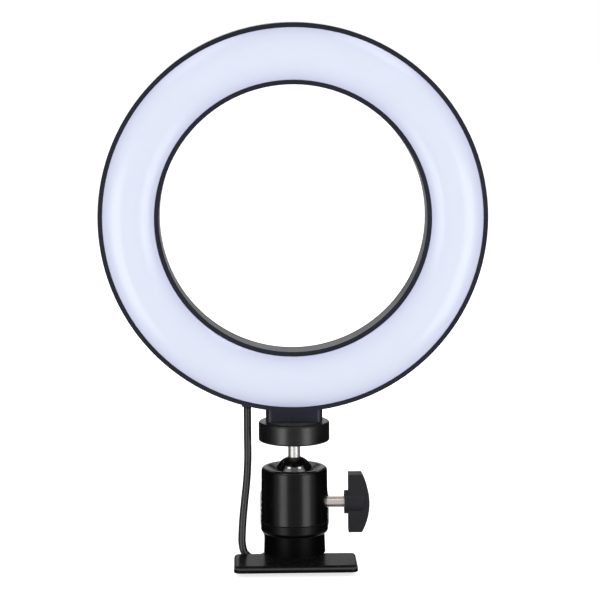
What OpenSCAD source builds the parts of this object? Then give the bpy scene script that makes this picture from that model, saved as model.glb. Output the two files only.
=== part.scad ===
// Ring light on a ball head with a spring clip and a plugged lead.
// The origin is on the ball head's axis, on the surface that the clip stands on.
// +X is to the right of the light, -Y is the way the light shines, +Z is up.

/* [Ring] */
// Outside diameter of the ring
ring_d = 160; // [150:1:170]
// Diameter of the open hole
hole_d = 110; // [104:1:116]
// Thickness of the frame's walls
wall = 1.8; // [1.4:0.1:2.2]
// Depth of the front frame
frame_depth = 12; // [11:0.5:14]
// Depth of the rear cover
cover_depth = 4; // [3.5:0.25:5]
// Height of the diffuser's dome above the rims
dome_h = 3.5; // [2:0.25:5]
// Thickness of the diffuser
diffuser_t = 1.6; // [1.2:0.1:2]
// Number of light chips
chip_count = 48; // [24:4:64]
// Width of the foot block under the ring
foot_w = 23.5; // [20:0.5:26]
// Depth of the foot block
foot_depth = 14; // [11:0.5:15]
// Height of the foot block from the ring's lowest point
foot_h = 4.6; // [4.2:0.1:8]
// Width of the push buttons on the back
button_d = 6.8; // [5:0.2:7]
// Travel of a push button
button_travel = 0.5; // [0.3:0.1:0.5]

/* [Ball head] */
// Height of the ball's centre
ball_z = 37.4; // [36:0.2:39]
// Diameter of the ball
ball_d = 16.3; // [15.5:0.1:16.8]
// Diameter of the stud below its thread
stud_d = 5; // [4.4:0.1:5.6]
// Diameter of the camera thread
thread_d = 6.25; // [6:0.05:6.3]
// Diameter of the lock nut
nut_d = 29.6; // [26:0.2:32]
// Thickness of the lock nut
nut_t = 8.2; // [5:0.2:9]
// Diameter of the housing at its mouth
housing_top_d = 27.6; // [26.4:0.2:29]
// Diameter of the housing at its groove
housing_d = 28.2; // [27.2:0.1:29]
// Height of the housing's crest above the ball's centre
crest_rise = 3.5; // [2.4:0.1:3.6]
// Diameter of the crest of the housing's mouth
crest_d = 23; // [22:0.2:23.8]
// Height of the groove above the surface
groove_z = 17.75; // [16:0.25:18]
// Diameter of the neck
neck_d = 25.2; // [24:0.2:26]
// Height of the neck
neck_h = 8.2; // [6:0.2:9]

/* [Knob] */
// Height of the knob's axis
knob_z = 25.5; // [24.5:0.25:26]
// Diameter of the knob's screw
screw_d = 4.75; // [4:0.05:5]
// Distance from the head's axis to the wing
wing_x = 22.6; // [21:0.2:26]
// Length of the wing
wing_h = 24.6; // [20:0.2:28]
// Depth of the wing from hub to outer edge
wing_w = 8.8; // [7:0.2:10]
// Thickness of the wing
wing_t = 7.6; // [5:0.2:8]
// Diameter of the knob's hub
hub_d = 9.9; // [8.6:0.1:11]

/* [Clip] */
// Width of the upper jaw
jaw_w = 51; // [46:1:60]
// Length of the upper jaw's plate ahead of its back edge
jaw_len = 22; // [20:0.5:32]
// Place of the plate's back edge ahead of the head's axis
jaw_back = 4.5; // [2:0.25:6]
// Thickness of the pressed sheet
sheet = 1.2; // [0.9:0.1:1.3]
// Height of the turned-down edge
lip_h = 2.75; // [2.4:0.05:3]
// Radius of the plate's corners
corner_r = 3; // [2.5:0.1:5]
// Height of the upper jaw's top face
jaw_z = 4.6; // [4.6:0.1:5.4]
// Width of the lower jaw
lower_w = 45; // [36:1:45]
// Width of the handles
handle_w = 13; // [12.5:0.5:16]
// Place of the hinge pin behind the head's axis
pin_y = 25; // [24:0.5:27]
// Height of the hinge pin
pin_z = 5.4; // [5.2:0.1:5.8]
// Diameter of the hinge pin
pin_d = 2.5; // [2:0.1:2.8]
// Rise of the upper handle in degrees
handle_rise = 30; // [28:1:34]
// Thickness of a jaw pad
pad_t = 0.8; // [0.5:0.1:0.8]
// Diameter of the spring's wire
wire_d = 1.1; // [0.9:0.1:1.2]
// Number of turns in the clip's spring
spring_turns = 5; // [4:1:5]

/* [Lead] */
// Diameter of the cord
cord_d = 3.2; // [3:0.1:3.2]
// Length of the straight runs in the hank
hank_run = 48; // [40:1:56]

/* [Hidden] */
$fn = 96;
fine_fn = 180;
over = 1;
running_gap = 0.05;
slip_gap = 0.15;
clear_gap = 0.3;
ring_r = ring_d / 2;
hole_r = hole_d / 2;
frame_front = 8;
frame_back = frame_front - frame_depth;
cover_front = frame_back - slip_gap;
cover_back = cover_front - cover_depth;
cover_round = 2.5;
cover_skin = 1.8;
diffuser_out_r = ring_r - wall - slip_gap;
diffuser_in_r = hole_r + wall + slip_gap;
diffuser_mid_r = (diffuser_out_r + diffuser_in_r) / 2;
diffuser_half_w = (diffuser_out_r - diffuser_in_r) / 2;
dome_r = (pow(diffuser_half_w, 2) + pow(dome_h, 2)) / (2 * dome_h);
dome_centre = frame_front + dome_h - dome_r;
seat_depth = 4;
ledge = 1.5;
ledge_t = 1.4;
ledge_front = frame_front - seat_depth;
ledge_middle = ledge_front - ledge_t / 2;
board_front = 0;
board_t = 1.2;
board_back = board_front - board_t;
driver_t = 1.2;
driver_back = board_back - driver_t;
driver_span = 24;
driver_margin = 1;
board_gap = 0.4;
board_margin = 6;
board_in_r = hole_r + wall + board_gap;
board_out_r = ring_r - wall - board_margin;
chip = [2.8, 3.5, 0.7];
chip_shift = 1.5;
chip_row_r = (board_in_r + board_out_r) / 2 + chip_shift;
post_r = 2.6;
post_gap = 0.4;
post_row_r = ring_r - wall - post_r - post_gap;
post_back = cover_back + cover_skin;
cover_screw_r = 1;
cover_head_r = 2.2;
cover_head_t = 1;
screw_bite = 6;
cover_screw_len = cover_skin + screw_bite;
cross_slot = [2.6, 0.6, 1];
boss_r = 2.4;
boss_sink = 0.3;
boss_row_r = hole_r + wall + boss_r - boss_sink;
rib_w = 1.6;
rib_back = board_front + 1;
rib_front = ledge_front - ledge_t * 3 / 4;
board_screw_r = 0.9;
board_head_r = 1.8;
board_head_t = 1;
pilot_depth = 2.2;
screw_angles = [0, 60, 120, 180, 240, 300];
button_angles = [-14, 0, 14];
button_row_r = (hole_r + ring_r) / 2;
button_r = button_d / 2;
button_gap = 0.1;
button_proud = 1.2;
button_flange = 1;
button_flange_t = 0.8;
flange_gap = 0.2;
switch_t = 0.6;
switch_w = 6;
switch_back = driver_back - switch_t;
switch_gap = 0.1;
crest_z = ball_z + crest_rise;
ball_r = ball_d / 2;
nut_rise = 14.7;
nut_z = ball_z + nut_rise;
nut_top = nut_z + nut_t;
nut_round = 0.8;
thread_start = 1.1;
stud_thread_z = nut_z + thread_start;
washer_t = 0.4;
washer_r = 11.5;
foot_z = nut_top + washer_t + clear_gap;
foot_round = 2.5;
foot_blend = 4;
ring_z = foot_z + foot_h + ring_r;
thread_r = thread_d / 2;
insert_wall = 1;
insert_r = thread_r + insert_wall;
insert_len = foot_h + wall / 2;
nut_insert_r = insert_r + insert_wall;
stud_top = foot_z + insert_len - clear_gap;
groove_w = 0.4;
housing_z = groove_z + groove_w;
housing_round = 1.5;
screw_r = screw_d / 2;
screw_sink = 0.7;
screw_sink_r = screw_r + 1;
cup_wall = 2.45;
cup_r = ball_r + cup_wall;
cup_lift = 1.5;
cup_z = knob_z + screw_r + cup_lift;
cup_top = ball_z - 0.4;
retainer_z = ball_z + clear_gap;
mouth_rise = 1.8;
mouth_gap = 0.1;
mouth_r = sqrt(pow(ball_r, 2) - pow(mouth_rise, 2)) + mouth_gap;
cap_z = jaw_z + neck_h;
cap_round = 2;
neck_flare = 0.3;
base_screw_r = thread_r;
base_screw_top = groove_z - 2;
base_head_r = 5;
base_head_t = 1.5;
base_slot = [8, 1.2, 1.4];
spigot_h = 1.4;
shoe_z = groove_z + spigot_h;
screw_tip_x = 2;
hub_gap = 1.7;
hub_in = 6.3;
wing_bow = 3.2;
jaw_front = jaw_back + jaw_len;
jaw_under = jaw_z - sheet;
edge_r = 1.8;
bend_gap = 1.4;
handle_start = neck_d / 2 + bend_gap;
handle_len = 27;
tail_end = 38;
tail_w = neck_d - 2;
lower_set_back = 7.5;
lower_front = jaw_front - lower_set_back;
ear_gap = 0.4;
ear_r = 3.2;
ear_inset = 0.2;
ear_rise = 7;
pin_r = pin_d / 2;
pin_head_t = 0.8;
pin_head_lip = 0.6;
lower_ear_x = handle_w / 2 + ear_gap;
coil_gap = 0.4;
turn_gap = 0.6;
spring_r = pin_r + coil_gap + wire_d / 2;
spring_pitch = wire_d + turn_gap;
pad_inset = 3;
pad_len = 11;
pad_round = 1;
pad_side = 1;
lower_pad_len = 9;
lower_pad_inset = 1.5;
gland_x = -19.4;
gland_y = 1.5;
gland_drop = 0.7;
gland_z = ring_z - ring_r + gland_drop;
gland_r = 2.3;
gland_in = 6;
lead_wire_d = 0.8;
lead_wire_gap = 1.6;
cord_r = cord_d / 2;
cord_sides = 8;
form_sides = 6;
route_steps = 2;
hank_x = 1.4;
hank_y = 55.5;
hank_step = 4.05;
hank_in_r = 9;
hank_layers = 4;
hank_rings = 24;
tie_w = 9;
tie_t = 0.5;
tie_slip = 0.1;
tie_round = 2.2;
tie_shift = 9;
tie_y = hank_y + tie_shift;
hank_z = tie_t + tie_slip + cord_r;
hank_top = hank_z + cord_r + hank_step * (hank_layers - 1);
plug_size = [15.5, 20, 8];
plug_round = 2;
plug_y = hank_y + plug_size[1];
plug_z = hank_top + tie_t + 2 * tie_slip + plug_size[2] / 2;
usb = [12, 12, 4.5];
usb_wall = 0.3;
tongue_t = 2;
tongue_back = 0.6;
relief_len = 7;
relief_r = 2.6;
relief_base_r = 3.4;

black = [0.07, 0.07, 0.08];
soft_black = [0.13, 0.13, 0.14];
steel = [0.72, 0.72, 0.74];
brass = [0.75, 0.62, 0.32];
milky = [0.9, 0.92, 0.98];

// Swept tubes
function unit(v) = v / norm(v);
function heading(path, i) = unit(path[min(i + 1, len(path) - 1)] - path[max(i - 1, 0)]);
function curve(a, b, c, d, t) = 0.5 * (2 * b + (c - a) * t + (2 * a - 5 * b + 4 * c - d) * t * t
    + (3 * b - a - 3 * c + d) * t * t * t);
function smooth(route, steps) = let (last = len(route) - 1) concat(
    [for (i = [0:last - 1], k = [0:steps - 1]) curve(route[max(i - 1, 0)], route[i], route[i + 1],
        route[min(i + 2, last)], k / steps)], [route[last]]);
function least_gap(path, skip) = min([for (i = [0:len(path) - 1 - skip], j = [i + skip:len(path) - 1])
    norm(path[i] - path[j])]);

module tube(path, diameter, sides, side) {
    last = len(path) - 1;
    turn = 360 / sides;
    top = last * sides;
    points = [for (i = [0:last]) let (t = heading(path, i), u = unit(cross(t, side)), v = cross(u, t))
        for (k = [0:sides - 1]) path[i] + diameter / 2 * (u * cos(turn * k) + v * sin(turn * k))];
    walls = [for (i = [0:last - 1], k = [0:sides - 1])
        let (a = i * sides + k, b = i * sides + (k + 1) % sides)
        each [[a, b, a + sides], [b, b + sides, a + sides]]];
    ends = [for (k = [1:sides - 2]) each [[0, k + 1, k], [top, top + k, top + k + 1]]];
    polyhedron(points, concat(walls, ends));
}

// The spring's coil runs round the pin; one leg bears on the lower tail and the other on the handle.
spring_rings = 8;
spring_len = spring_turns * spring_pitch;
leg_len = 9;
leg_gap = 0.1;
spring_start = -90;
spring_sweep = 360 * spring_turns + 180 - handle_rise;
handle_gap = (jaw_under + (pin_y - handle_start) * tan(handle_rise) - pin_z) * cos(handle_rise);
function spring_point(a, r) = [-spring_len / 2 + spring_len * a / spring_sweep,
    pin_y + r * cos(spring_start - a), pin_z + r * sin(spring_start - a)];
function spring_leg(a, side, reach, r) = spring_point(a, r)
    + side * reach * [0, sin(spring_start - a), -cos(spring_start - a)];
spring_steps = spring_turns * spring_rings + 3;
lower_tip_r = pin_z - sheet - wire_d / 2 - leg_gap;
upper_tip_r = handle_gap - wire_d / 2 - leg_gap;
spring_path = concat([spring_leg(0, -1, leg_len, lower_tip_r), spring_leg(0, -1, wire_d, spring_r)],
    [for (i = [0:spring_steps]) spring_point(spring_sweep * i / spring_steps, spring_r)],
    [spring_leg(spring_sweep, 1, wire_d, spring_r), spring_leg(spring_sweep, 1, leg_len, upper_tip_r)]);

// The hank winds in, climbs a layer in half a turn and winds out again, over straight runs along Y.
wind_turns = hank_layers * 1.5 - 0.5;
function wind_layer(t) = floor(t / 1.5);
function wind_part(t) = t - 1.5 * wind_layer(t);
function wind_in(t) = wind_layer(t) % 2 == 0 ? min(wind_part(t), 1) : 1 - min(wind_part(t), 1);
function wind_r(t) = hank_in_r + hank_step * (1 - wind_in(t));
function wind_z(t) = hank_z + hank_step * (wind_layer(t) + 2 * max(wind_part(t) - 1, 0));
function wind_xy(r, s) = s < 0.25 ? [-r, 4 * s * hank_run]
    : s < 0.5 ? [-r * cos(720 * (s - 0.25)), hank_run + r * sin(720 * (s - 0.25))]
    : s < 0.75 ? [r, (3 - 4 * s) * hank_run]
    : [r * cos(720 * (s - 0.75)), -r * sin(720 * (s - 0.75))];
function wind_point(t) = let (p = wind_xy(wind_r(t), t - floor(t))) [hank_x + p[0], hank_y + p[1], wind_z(t)];
hank_path = [for (i = [0:wind_turns * hank_rings]) wind_point(i / hank_rings)];
hank_start = wind_point(0);
hank_end = wind_point(wind_turns);

// Routes of the lead: from the ring to the table, on to the hank, up to the plug, and inside the ring.
drop_end = [-22, -0.8, 13];
gland_end = [gland_x, gland_y, gland_z];
drop_route = [gland_end, gland_end - [0, 0, 3.7], [gland_x, gland_y, 52], [-19.4, 1.5, 44], [-19.9, 1.2, 35],
    [-20.9, 0.6, 26], [-21.7, -0.2, 18], drop_end];
floor_route = [drop_end, [-22.1, -1.3, 9], [-21.3, -1.6, 5], [-19, -1.5, 2.5], [-16, -0.6, 1.7],
    [-13.6, 1.6, cord_r], [-12, 5, cord_r], [-11.2, 10, cord_r], [-10.9, 16, cord_r], [-10.8, 24, cord_r],
    [-10.8, 32, cord_r], [-10.9, 40, 1.7], [-11.4, 47.5, 2.1], hank_start - [0, 3, 0], hank_start];
plug_tail = [hank_x, plug_y + relief_len, plug_z];
tail_shape = [[0, 0, 0], [0, 0.14, 0.01], [0.03, 0.31, 0.21], [0.17, 0.48, 0.63], [0.47, 0.64, 0.92],
    [0.81, 0.79, 0.99], [1, 0.93, 1], [1, 1, 1]];
tail_route = [for (p = tail_shape) [for (i = [0:2]) hank_end[i] + (plug_tail[i] - hank_end[i]) * p[i]]];
wire_shape = [[0.8, 0, 0], [0.8, 0, 0.7], [-0.4, 0.7, 2], [-2.4, 1.35, 4], [-4.2, 1.35, 5.8],
    [-5.4, 1.35, 8.4]];
wire_route = [for (p = wire_shape) p + gland_end + [0, 0, gland_in]];

hank_gap = least_gap(hank_path, hank_rings / 2) - cord_d;
spring_gap = least_gap(spring_path, spring_rings / 2) - wire_d;
echo(hank_gap = hank_gap, spring_gap = spring_gap);

// Shared shapes
module rounded_rect(w, l, r) {
    square([w - 2 * r, l], center = true);
    square([w, l - 2 * r], center = true);
    for (x = [-1, 1], y = [-1, 1]) translate([x * (w / 2 - r), y * (l / 2 - r)]) circle(r);
}

module ring_place() {
    translate([0, 0, ring_z]) rotate([90, 0, 0]) children();
}

module around(angles, radius) {
    for (a = angles) rotate(a) translate([radius, 0, 0]) children();
}

module band(r1, r2, low, high) {
    translate([r1, low]) square([r2 - r1, high - low]);
}

module along_x(x, z) {
    translate([x, 0, z]) rotate([0, 90, 0]) children();
}

// Ring
module front_frame() {
    color(black) difference() {
        union() {
            ring_place() rotate_extrude() {
                band(ring_r - wall, ring_r, frame_back, frame_front);
                band(hole_r, hole_r + wall, frame_back, frame_front);
                band(ring_r - wall - ledge, ring_r, ledge_front - ledge_t, ledge_front);
                band(hole_r, hole_r + wall + ledge, ledge_front - ledge_t, ledge_front);
            }
            ring_place() around(screw_angles, post_row_r) translate([0, 0, post_back])
                cylinder(r = post_r, h = ledge_middle - post_back);
            ring_place() around(screw_angles, boss_row_r) translate([0, 0, board_front])
                cylinder(r = boss_r, h = ledge_middle - board_front);
            ring_place() around(screw_angles, boss_row_r) translate([0, -rib_w / 2, rib_back])
                cube([post_row_r - boss_row_r, rib_w, rib_front - rib_back]);
            foot();
        }
        translate([0, 0, foot_z - over]) cylinder(r = insert_r, h = insert_len + over);
        ring_place() around(screw_angles, post_row_r) translate([0, 0, cover_back])
            cylinder(r = cover_screw_r, h = cover_screw_len + over);
        ring_place() around(screw_angles, boss_row_r) translate([0, 0, board_front - over])
            cylinder(r = board_screw_r, h = pilot_depth + over);
        translate([gland_x, gland_y, gland_z]) cylinder(r = gland_r, h = gland_in + over);
    }
}

module foot() {
    step = frame_back - slip_gap / 2;
    difference() {
        translate([0, 0, foot_z]) linear_extrude(foot_h + foot_blend)
            rounded_rect(foot_w, foot_depth, foot_round);
        ring_place() translate([0, 0, step]) cylinder(r = ring_r - wall / 2, h = 2 * foot_depth);
        ring_place() translate([0, 0, step - foot_depth]) cylinder(r = ring_r + slip_gap, h = foot_depth);
    }
}

module diffuser() {
    skirt_front = frame_front - clear_gap;
    color(milky) ring_place() rotate_extrude() {
        intersection() {
            difference() {
                translate([diffuser_mid_r, dome_centre]) circle(dome_r, $fn = fine_fn);
                translate([diffuser_mid_r, dome_centre]) circle(dome_r - diffuser_t, $fn = fine_fn);
            }
            band(diffuser_in_r, diffuser_out_r, ledge_middle, frame_front + dome_h + over);
        }
        band(diffuser_in_r, diffuser_in_r + diffuser_t, ledge_front, skirt_front);
        band(diffuser_out_r - diffuser_t, diffuser_out_r, ledge_front, skirt_front);
    }
}

module led_board() {
    color("white") ring_place() difference() {
        rotate_extrude() band(board_in_r, board_out_r, board_back, board_front);
        around(screw_angles, boss_row_r) translate([0, 0, board_back - over])
            cylinder(r = board_screw_r, h = board_t + 2 * over);
    }
}

module led_chips() {
    chip_angles = [for (i = [0:chip_count - 1]) 360 * (i + 0.5) / chip_count];
    color("khaki") ring_place() around(chip_angles, chip_row_r)
        translate([0, 0, board_front + chip[2] / 2]) cube(chip, center = true);
}

module board_screws() {
    color(steel) ring_place() around(screw_angles, boss_row_r) translate([0, 0, board_back]) {
        translate([0, 0, -board_head_t]) cylinder(r = board_head_r, h = board_head_t);
        cylinder(r = board_screw_r, h = board_t + pilot_depth - clear_gap);
    }
}

module driver_board() {
    color("darkgreen") ring_place() rotate(-90 - driver_span) rotate_extrude(angle = 2 * driver_span)
        band(board_in_r + driver_margin, board_out_r, driver_back, board_back);
}

module key_switches() {
    color("dimgray") ring_place() around([for (a = button_angles) a - 90], button_row_r)
        translate([0, 0, driver_back - switch_t / 2]) cube([switch_w, switch_w, switch_t], center = true);
}

module push_button(angle) {
    flange_back = cover_back + cover_skin + flange_gap;
    stem_front = switch_back - button_travel - switch_gap;
    color(soft_black) ring_place() around([angle - 90], button_row_r) {
        translate([0, 0, cover_back - button_proud])
            cylinder(r = button_r, h = flange_back + button_flange_t / 2 - cover_back + button_proud);
        translate([0, 0, flange_back]) cylinder(r = button_r + button_flange, h = button_flange_t);
        translate([0, 0, flange_back]) cylinder(r = button_r / 2, h = stem_front - flange_back);
    }
}

module button_power() { push_button(button_angles[1]); }
module button_dim() { push_button(button_angles[0]); }
module button_bright() { push_button(button_angles[2]); }

module rear_cover() {
    color(black) ring_place() difference() {
        rotate_extrude() difference() {
            union() {
                band(hole_r + cover_round, ring_r - cover_round, cover_back, cover_front);
                band(hole_r, ring_r, cover_back + cover_round, cover_front);
                for (r = [hole_r + cover_round, ring_r - cover_round])
                    translate([r, cover_back + cover_round]) circle(cover_round);
            }
            band(hole_r + wall, ring_r - wall, cover_back + cover_skin, cover_front + 2 * cover_depth);
            band(hole_r - over, ring_r + over, cover_front, cover_front + 2 * cover_depth);
        }
        around(screw_angles, post_row_r) translate([0, 0, cover_back - over]) {
            cylinder(r = cover_screw_r, h = cover_depth);
            cylinder(r = cover_head_r, h = cover_head_t + over);
        }
        around([for (a = button_angles) a - 90], button_row_r) translate([0, 0, cover_back - over])
            cylinder(r = button_r + button_gap, h = cover_depth);
    }
}

module cover_screws() {
    color(steel) ring_place() around(screw_angles, post_row_r) translate([0, 0, cover_back]) difference() {
        union() {
            cylinder(r = cover_head_r, h = cover_head_t);
            cylinder(r = cover_screw_r, h = cover_screw_len);
        }
        for (a = [0, 90]) rotate(a) cube(cross_slot, center = true);
    }
}

module thread_insert() {
    color(brass) translate([0, 0, foot_z]) difference() {
        cylinder(r = insert_r, h = insert_len);
        translate([0, 0, -over]) cylinder(r = thread_r + running_gap, h = insert_len + 2 * over);
    }
}

module cord_gland() {
    color(soft_black) translate([gland_x, gland_y, gland_z]) cylinder(r = gland_r, h = gland_in);
}

module lead_wires() {
    for (i = [0:1]) color(i == 0 ? "red" : "white")
        tube([for (p = wire_route) p - [lead_wire_gap * i, 0, 0]], lead_wire_d, cord_sides, [0, 1, 0]);
}

// Ball head
module ball() {
    color(black) translate([0, 0, ball_z]) difference() {
        sphere(ball_r);
        translate([0, 0, -ball_r / 2]) cylinder(r = stud_d / 2, h = 2 * ball_r);
    }
}

module stud() {
    color(steel) {
        translate([0, 0, ball_z - ball_r / 2])
            cylinder(r = stud_d / 2, h = stud_thread_z - ball_z + ball_r / 2);
        translate([0, 0, stud_thread_z]) cylinder(r = thread_r, h = stud_top - stud_thread_z);
    }
}

module lock_nut() {
    nut_r = nut_d / 2;
    color(black) translate([0, 0, nut_z]) difference() {
        rotate_extrude() {
            band(0, nut_r - nut_round, 0, nut_t);
            band(0, nut_r, nut_round, nut_t - nut_round);
            for (z = [nut_round, nut_t - nut_round]) translate([nut_r - nut_round, z]) circle(nut_round);
        }
        translate([0, 0, -over]) cylinder(r = nut_insert_r, h = nut_t + 2 * over);
    }
}

module nut_insert() {
    color(brass) translate([0, 0, nut_z]) difference() {
        cylinder(r = nut_insert_r, h = nut_t);
        translate([0, 0, -over]) cylinder(r = thread_r + running_gap, h = nut_t + 2 * over);
    }
}

module nut_washer() {
    color(soft_black) translate([0, 0, nut_top]) difference() {
        cylinder(r = washer_r, h = washer_t);
        translate([0, 0, -over]) cylinder(r = nut_insert_r, h = washer_t + 2 * over);
    }
}

module ball_cup() {
    color("ivory") difference() {
        translate([0, 0, cup_z]) cylinder(r = cup_r - running_gap, h = cup_top - cup_z);
        translate([0, 0, ball_z]) sphere(ball_r + running_gap);
    }
}

module retaining_ring() {
    color("ivory") difference() {
        translate([0, 0, retainer_z]) cylinder(r = cup_r, h = mouth_rise - clear_gap);
        translate([0, 0, ball_z]) sphere(ball_r + running_gap);
    }
}

module housing() {
    top_r = housing_top_d / 2;
    crest_r = crest_d / 2;
    lip_z = ball_z + mouth_rise;
    color(black) difference() {
        rotate_extrude() {
            polygon([[cup_r, housing_z], [housing_d / 2, housing_z], [top_r, crest_z - housing_round],
                [top_r - housing_round, crest_z], [crest_r, crest_z], [mouth_r, lip_z], [cup_r, lip_z]]);
            translate([top_r - housing_round, crest_z - housing_round]) circle(housing_round);
        }
        along_x(0, knob_z) cylinder(r = screw_r + running_gap, h = housing_d);
        along_x(housing_d / 2 - screw_sink, knob_z) cylinder(r = screw_sink_r, h = housing_d);
    }
}

module clamp_shoe() {
    color(brass) difference() {
        translate([0, 0, shoe_z]) cylinder(r = cup_r, h = cup_z - running_gap - shoe_z);
        translate([0, 0, ball_z]) sphere(ball_r + clear_gap);
        along_x(screw_tip_x - over, knob_z) cylinder(r = screw_r + running_gap, h = housing_d);
    }
}

module base_cap() {
    cap_r = housing_d / 2;
    color(black) difference() {
        union() {
            translate([0, 0, cap_z]) rotate_extrude() {
                band(0, cap_r - cap_round, 0, groove_z - cap_z);
                band(0, cap_r, cap_round, groove_z - cap_z);
                translate([cap_r - cap_round, cap_round]) circle(cap_round);
            }
            translate([0, 0, groove_z - over]) cylinder(r = cup_r, h = spigot_h + over);
        }
        translate([0, 0, cap_z - over]) cylinder(r = base_screw_r, h = base_screw_top - cap_z + over);
    }
}

module neck() {
    color(black) translate([0, 0, jaw_z]) difference() {
        cylinder(r1 = neck_d / 2 + neck_flare, r2 = neck_d / 2, h = neck_h);
        translate([0, 0, -over]) cylinder(r = base_screw_r + slip_gap, h = neck_h + 2 * over);
    }
}

module base_screw() {
    color(steel) difference() {
        union() {
            translate([0, 0, jaw_under - base_head_t]) cylinder(r = base_head_r, h = base_head_t);
            translate([0, 0, jaw_under]) cylinder(r = base_screw_r, h = base_screw_top - jaw_under);
        }
        translate([0, 0, jaw_under - base_head_t]) cube(base_slot, center = true);
    }
}

module lock_screw() {
    color(steel) along_x(screw_tip_x, knob_z) cylinder(r = screw_r, h = wing_x + wing_w / 2 - screw_tip_x);
}

module lock_knob() {
    outer_r = (pow(wing_h / 2, 2) + pow(wing_bow, 2)) / (2 * wing_bow);
    color(soft_black) translate([0, 0, knob_z]) difference() {
        union() {
            rotate([90, 0, 0]) linear_extrude(wing_t, center = true) intersection() {
                translate([wing_x, -wing_h / 2]) square([wing_w, wing_h]);
                translate([wing_x + wing_w - outer_r, 0]) circle(outer_r, $fn = fine_fn);
            }
            along_x(wing_x - hub_gap, 0) cylinder(r = hub_d / 2, h = hub_gap + hub_in);
        }
        along_x(0, 0) cylinder(r = screw_r, h = wing_x + wing_w / 2);
    }
}

// Clip
module tray_section() {
    difference() {
        union() {
            translate([-edge_r, -lip_h]) square([edge_r, lip_h - edge_r]);
            translate([-edge_r, -edge_r]) intersection() {
                circle(edge_r);
                square(edge_r);
            }
        }
        translate([-edge_r, -lip_h - over]) square([edge_r - sheet, lip_h + over - edge_r]);
        translate([-edge_r, -edge_r]) circle(edge_r - sheet);
    }
}

module tray_edge() {
    for (x = [-1, 1]) mirrored(x) {
        translate([jaw_w / 2 - corner_r, -jaw_front + corner_r, 0]) rotate(-90) rotate_extrude(angle = 90)
            translate([corner_r, 0]) tray_section();
        translate([jaw_w / 2, -jaw_back, 0]) rotate([90, 0, 0])
            linear_extrude(jaw_len - corner_r) tray_section();
    }
    translate([jaw_w / 2 - corner_r, -jaw_front, 0]) rotate([90, 0, -90])
        linear_extrude(jaw_w - 2 * corner_r) tray_section();
}

module mirrored(x) {
    if (x < 0) mirror([1, 0, 0]) children();
    else children();
}

module upper_jaw() {
    color(black) difference() {
        union() {
            translate([0, 0, jaw_z]) tray_edge();
            translate([0, 0, jaw_under]) linear_extrude(sheet) {
                translate([0, -jaw_back - jaw_len / 2 + edge_r / 2])
                    rounded_front(jaw_w - 2 * edge_r, jaw_len - edge_r, corner_r - edge_r);
                translate([-tail_w / 2, -jaw_back - over]) square([tail_w, neck_d / 2 + jaw_back + over]);
            }
            side_on(0, handle_w) handle_side();
            for (x = [-1, 1]) side_on(x * (handle_w / 2 - ear_inset - sheet / 2), sheet) upper_ear_side();
        }
        translate([0, 0, jaw_under - over]) cylinder(r = base_screw_r + slip_gap, h = sheet + 2 * over);
        along_x(-handle_w, pin_z) translate([0, pin_y, 0])
            cylinder(r = pin_r + running_gap, h = 2 * handle_w);
    }
}

module side_on(x, thickness) {
    translate([x, 0, 0]) rotate([90, 0, 90]) linear_extrude(thickness, center = true) children();
}

module handle_side() {
    start = [handle_start, jaw_under];
    end = start + handle_len * [cos(handle_rise), sin(handle_rise)];
    polygon([[0, jaw_under], start, end, end + sheet * [-sin(handle_rise), cos(handle_rise)],
        [handle_start - sheet * tan(handle_rise / 2), jaw_z], [0, jaw_z]]);
}

module upper_ear_side() {
    difference() {
        union() {
            translate([pin_y, pin_z]) circle(ear_r);
            translate([pin_y - ear_r, pin_z]) square([2 * ear_r, ear_rise]);
        }
        translate([handle_start, jaw_under]) rotate(handle_rise) translate([0, sheet / 2])
            square([handle_len, 2 * ear_rise]);
    }
}

module rounded_front(w, l, r) {
    translate([0, r / 2]) square([w, l - r], center = true);
    square([w - 2 * r, l], center = true);
    for (x = [-1, 1]) translate([x * (w / 2 - r), -l / 2 + r]) circle(r);
}

module upper_pad() {
    color(soft_black) translate([0, -jaw_front + edge_r + pad_inset + pad_len / 2, jaw_under - pad_t])
        linear_extrude(pad_t) rounded_rect(lower_w - 2 * pad_side, pad_len, pad_round);
}

module lower_jaw() {
    reach = lower_ear_x + sheet;
    color(black) difference() {
        union() {
            linear_extrude(sheet) {
                translate([0, -(lower_front + jaw_back) / 2])
                    rounded_front(lower_w, lower_front - jaw_back, corner_r);
                translate([-handle_w / 2, -jaw_back - over]) square([handle_w, tail_end + jaw_back + over]);
                translate([-reach, pin_y - ear_r]) square([2 * reach, 2 * ear_r]);
            }
            for (x = [-1, 1]) side_on(x * (reach - sheet / 2), sheet) {
                translate([pin_y, pin_z]) circle(ear_r);
                translate([pin_y - ear_r, 0]) square([2 * ear_r, pin_z]);
            }
        }
        along_x(-handle_w, pin_z) translate([0, pin_y, 0]) cylinder(r = pin_r, h = 2 * handle_w);
    }
}

module lower_pad() {
    color(soft_black) translate([0, -lower_front + lower_pad_inset + lower_pad_len / 2, sheet])
        linear_extrude(pad_t) rounded_rect(lower_w - 2 * pad_side, lower_pad_len, pad_round);
}

module hinge_pin() {
    reach = lower_ear_x + sheet;
    color(steel) translate([0, pin_y, 0]) {
        along_x(-reach, pin_z) cylinder(r = pin_r, h = 2 * reach);
        for (x = [-1, 1]) along_x(x * (reach + pin_head_t / 2) - pin_head_t / 2, pin_z)
            cylinder(r = pin_r + pin_head_lip, h = pin_head_t);
    }
}

module clip_spring() {
    color(steel) tube(spring_path, wire_d, form_sides, [1, 0, 0]);
}

// Lead
module lead(path, side) {
    color(black) tube(smooth(path, route_steps), cord_d, cord_sides, side);
}

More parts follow.
